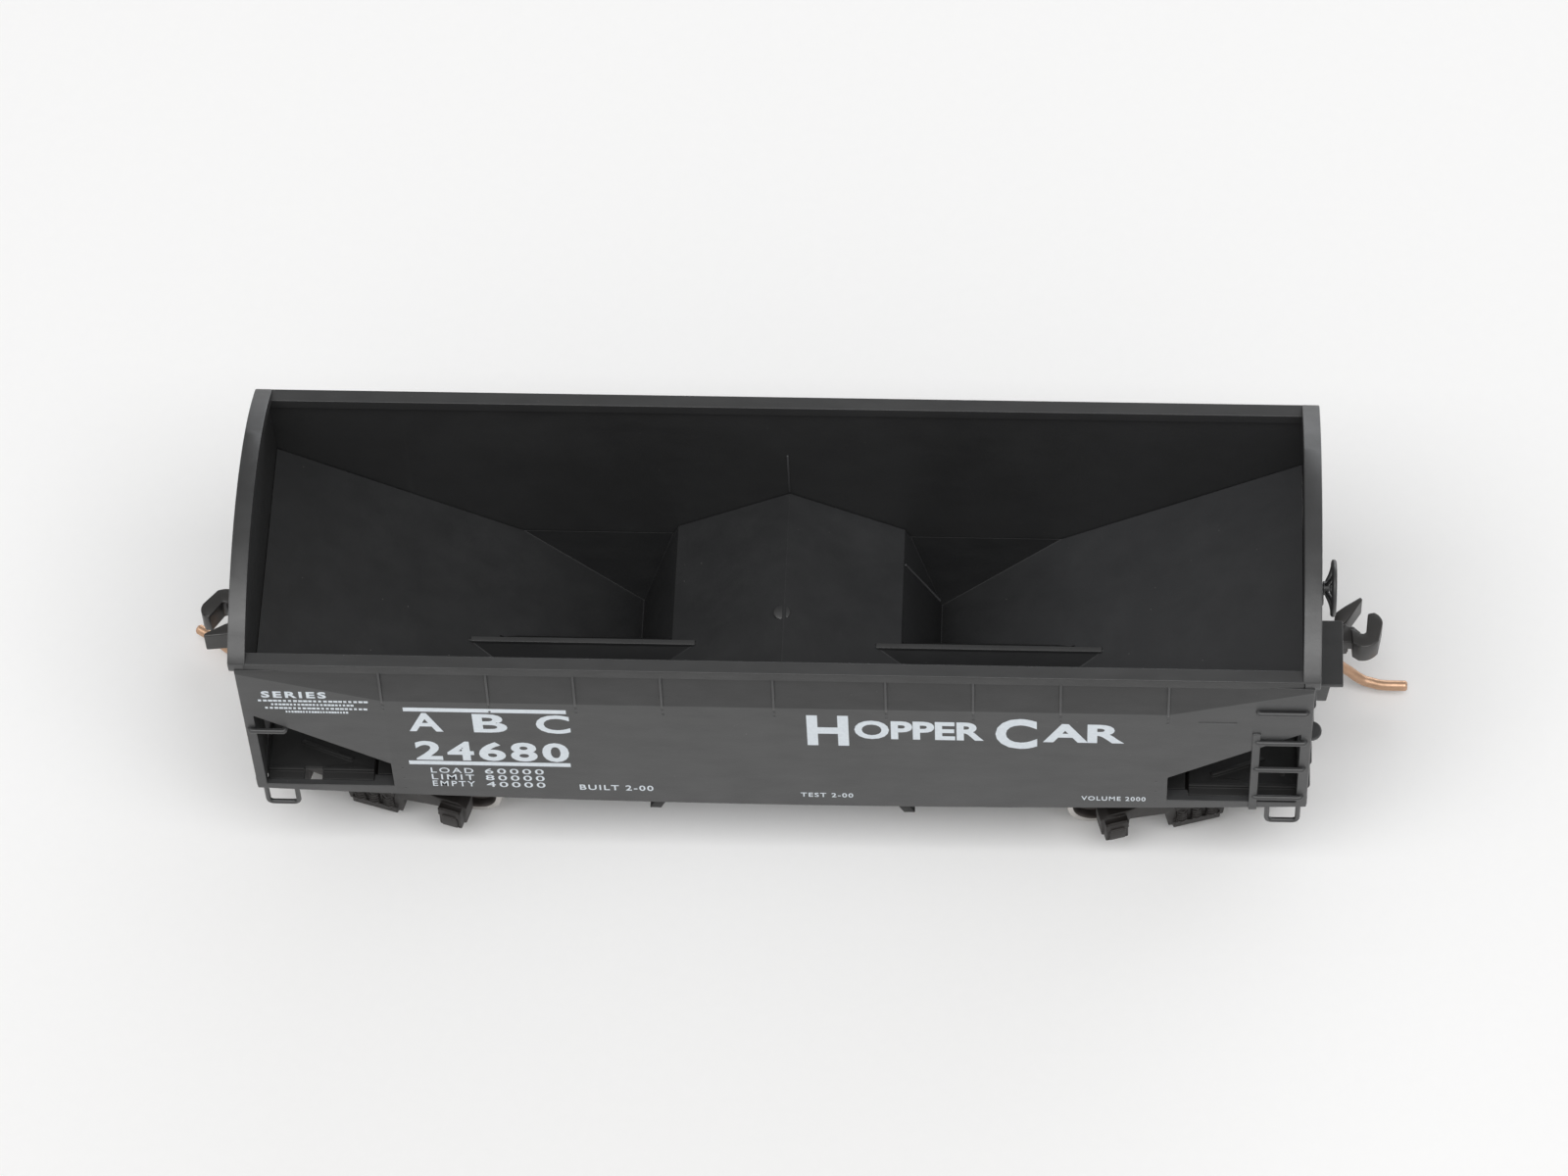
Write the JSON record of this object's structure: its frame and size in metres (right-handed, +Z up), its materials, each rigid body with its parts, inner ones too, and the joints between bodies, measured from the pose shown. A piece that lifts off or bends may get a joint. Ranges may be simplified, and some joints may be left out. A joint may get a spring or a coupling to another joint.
{
  "type": "model railway hopper car",
  "caption": "Open-top twin-bay model hopper car with offset sides and arched ends, on swivelling trucks with knuckle couplers.",
  "frame": {"origin": "on the floor under the middle of the car", "axes": "+X towards the brake-wheel end, +Y across the car, +Z up"},
  "size_m": [0.0768, 0.0206, 0.0252],
  "materials": {
    "shell_black": "satin black painted styrene",
    "interior_black": "satin black moulded styrene",
    "frame_black": "bare black moulded plastic",
    "truck_brown_black": "unpainted brown-black acetal",
    "wheel_dark": "chemically blackened turned metal",
    "spring_steel": "bright drawn steel",
    "blackened_steel": "blackened sheared steel",
    "coupler_black": "unpainted black acetal",
    "copper_wire": "bright copper-coloured drawn wire",
    "lettering_white": "pad-printed off-white"
  },
  "bodies": {
    "car_body": {"body_shell": "shell_black", "hopper_floor": "interior_black", "underframe": "frame_black", "outlet_doors_a": "frame_black", "outlet_doors_b": "frame_black", "slope_weight_a": "blackened_steel", "slope_weight_b": "blackened_steel", "middle_weight": "blackened_steel", "brake_gear": "frame_black", "kingpin_a": "frame_black", "kingpin_b": "frame_black"},
    "brake_wheel": {"brake_wheel": "shell_black"},
    "truck_b": {"truck_frame_b": "truck_brown_black", "coupler_lid_b": "truck_brown_black", "coupler_pivot_pin_b": "spring_steel", "coupler_spring_b": "spring_steel"},
    "wheelset_b_inner": {"axle_b_inner": "spring_steel", "wheel_b_inner_left": "wheel_dark", "wheel_b_inner_right": "wheel_dark"},
    "wheelset_b_outer": {"axle_b_outer": "spring_steel", "wheel_b_outer_left": "wheel_dark", "wheel_b_outer_right": "wheel_dark"},
    "coupler_arm_b": {"coupler_arm_b": "coupler_black", "trip_pin_b": "copper_wire"},
    "coupler_knuckle_b": {"coupler_knuckle_b": "coupler_black"},
    "truck_a": {"truck_frame_a": "truck_brown_black", "coupler_lid_a": "truck_brown_black", "coupler_pivot_pin_a": "spring_steel", "coupler_spring_a": "spring_steel"},
    "wheelset_a_inner": {"axle_a_inner": "spring_steel", "wheel_a_inner_left": "wheel_dark", "wheel_a_inner_right": "wheel_dark"},
    "wheelset_a_outer": {"axle_a_outer": "spring_steel", "wheel_a_outer_left": "wheel_dark", "wheel_a_outer_right": "wheel_dark"},
    "coupler_arm_a": {"coupler_arm_a": "coupler_black", "trip_pin_a": "copper_wire"},
    "coupler_knuckle_a": {"coupler_knuckle_a": "coupler_black"}
  },
  "joints": [
    {"name": "brake_wheel_turn", "type": "hinge", "parent": "car_body", "child": "brake_wheel", "pos_m": [0.033, -0.002, 0.02015], "axis": [1, 0, 0], "continuous": true},
    {"name": "truck_b_swivel", "type": "hinge", "parent": "car_body", "child": "truck_b", "pos_m": [0.0234, 0, 0.00575], "axis": [0, 0, 1], "range_deg": [-36, 4]},
    {"name": "wheelset_b_inner_roll", "type": "hinge", "parent": "truck_b", "child": "wheelset_b_inner", "pos_m": [0.0184, -0.00143, 0.0031], "axis": [-0.2756, 0.9613, 0], "continuous": true},
    {"name": "wheelset_b_outer_roll", "type": "hinge", "parent": "truck_b", "child": "wheelset_b_outer", "pos_m": [0.0284, 0.00143, 0.0031], "axis": [-0.2756, 0.9613, 0], "continuous": true},
    {"name": "coupler_b_swing", "type": "hinge", "parent": "truck_b", "child": "coupler_arm_b", "pos_m": [0.03099, 0.00218, 0.0061], "axis": [0, 0, 1], "range_deg": [-12, 12], "stiffness_Nm_per_rad": 0.000002},
    {"name": "knuckle_b_open", "type": "hinge", "parent": "coupler_arm_b", "child": "coupler_knuckle_b", "pos_m": [0.03099, 0.00218, 0.0061], "axis": [0, 0, -1], "range_deg": [0, 14], "stiffness_Nm_per_rad": 0.000002},
    {"name": "truck_a_swivel", "type": "hinge", "parent": "car_body", "child": "truck_a", "pos_m": [-0.0234, 0, 0.00575], "axis": [0, 0, 1], "range_deg": [-4, 36]},
    {"name": "wheelset_a_inner_roll", "type": "hinge", "parent": "truck_a", "child": "wheelset_a_inner", "pos_m": [-0.0184, -0.00143, 0.0031], "axis": [-0.2756, -0.9613, 0], "continuous": true},
    {"name": "wheelset_a_outer_roll", "type": "hinge", "parent": "truck_a", "child": "wheelset_a_outer", "pos_m": [-0.0284, 0.00143, 0.0031], "axis": [-0.2756, -0.9613, 0], "continuous": true},
    {"name": "coupler_a_swing", "type": "hinge", "parent": "truck_a", "child": "coupler_arm_a", "pos_m": [-0.03099, 0.00218, 0.0061], "axis": [0, 0, 1], "range_deg": [-12, 12], "stiffness_Nm_per_rad": 0.000002},
    {"name": "knuckle_a_open", "type": "hinge", "parent": "coupler_arm_a", "child": "coupler_knuckle_a", "pos_m": [-0.03099, 0.00218, 0.0061], "axis": [0, 0, -1], "range_deg": [0, 14], "stiffness_Nm_per_rad": 0.000002}
  ]
}
